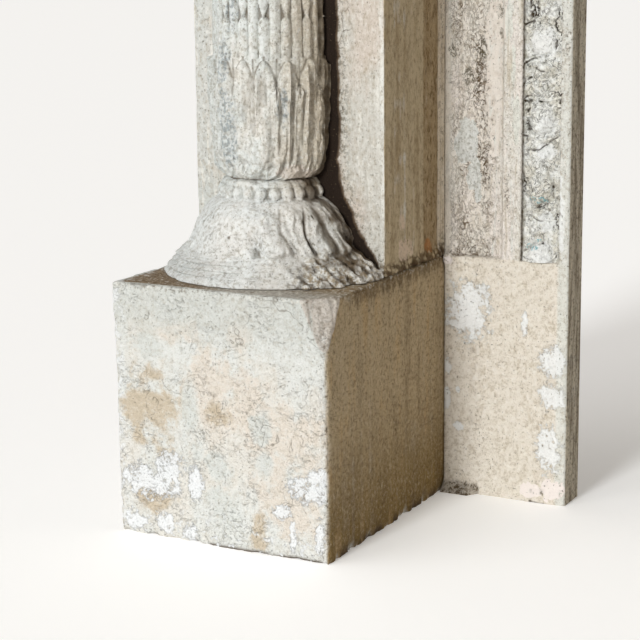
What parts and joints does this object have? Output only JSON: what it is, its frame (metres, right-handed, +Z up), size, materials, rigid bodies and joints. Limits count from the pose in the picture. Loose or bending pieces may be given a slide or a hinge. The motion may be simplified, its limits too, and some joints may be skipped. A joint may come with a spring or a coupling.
{
  "type": "fireplace mantel",
  "caption": "Plaster chimneypiece: leaf-carved engaged columns on square plinths, a moulded surround with an egg band, a plain frieze and a shelf that breaks forward over the columns.",
  "frame": {"origin": "on the floor, under the middle of the bounding box", "axes": "+X along the mantel to the viewer's right, +Y from the room into the wall, +Z up"},
  "size_m": [1.68, 0.278, 1.253],
  "materials": {
    "block_plaster": "old off-white paint on plaster, stained tan, chipped and crumbled at the edges",
    "column_plaster": "thick old white paint over carved plaster, grey-blue dirt in the hollows",
    "surround_plaster": "dirty cream paint on plaster with brown speckle and white patches",
    "band_plaster": "crusted white paint over carving, grey-green dirt in the hollows",
    "shelf_plaster": "old off-white paint, dusty brown on top"
  },
  "bodies": {
    "root": {"left_plinth_block": "block_plaster", "right_plinth_block": "block_plaster", "left_pilaster": "block_plaster", "right_pilaster": "block_plaster", "left_column_base": "column_plaster", "right_column_base": "column_plaster", "left_column_shaft": "column_plaster", "right_column_shaft": "column_plaster", "left_column_capital": "column_plaster", "right_column_capital": "column_plaster", "left_surround_jamb": "surround_plaster", "right_surround_jamb": "surround_plaster", "surround_lintel": "surround_plaster", "left_jamb_band": "band_plaster", "right_jamb_band": "band_plaster", "lintel_band": "band_plaster", "frieze": "block_plaster", "cornice": "block_plaster", "shelf": "shelf_plaster"}
  },
  "joints": []
}
